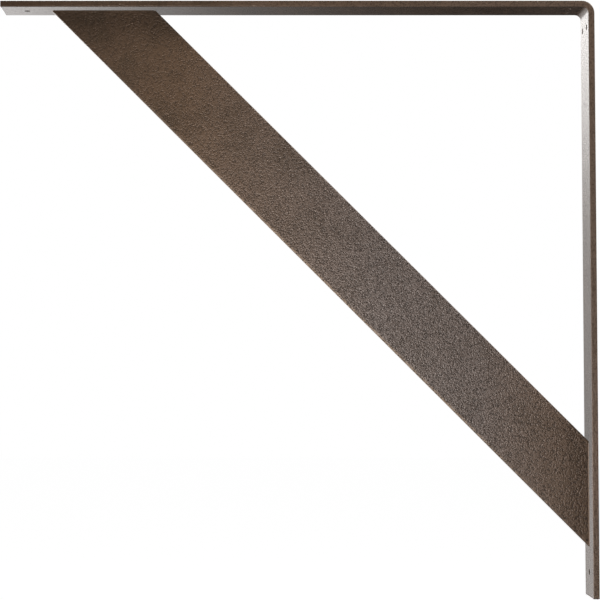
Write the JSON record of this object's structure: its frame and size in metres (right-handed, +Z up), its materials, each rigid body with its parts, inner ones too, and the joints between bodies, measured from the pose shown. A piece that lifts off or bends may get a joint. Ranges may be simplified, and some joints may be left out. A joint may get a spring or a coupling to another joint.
{
  "type": "shelf bracket",
  "caption": "Flat steel bar bent to a right angle, with a wide diagonal brace set on edge and welded in, that holds a shelf or worktop up on a wall.",
  "frame": {"origin": "on the face that lies on the wall, midway between the two upper screw holes and at the middle of the strap's width", "axes": "+X into the wall, so the shelf leg runs out along -X; +Z up, so the wall leg hangs down along -Z; +Y across the strap's width"},
  "size_m": [0.6096, 0.0508, 0.6096],
  "materials": {
    "strap_coat": "hammered dark bronze powder coat, semi-gloss",
    "brace_coat": "hammered dark bronze powder coat, semi-gloss",
    "weld_coat": "dark bronze powder coat over weld metal, semi-gloss"
  },
  "bodies": {
    "root": {"bent_strap": "strap_coat", "diagonal_brace": "brace_coat", "upper_front_weld": "weld_coat", "upper_rear_weld": "weld_coat", "lower_front_weld": "weld_coat", "lower_rear_weld": "weld_coat"}
  },
  "joints": []
}
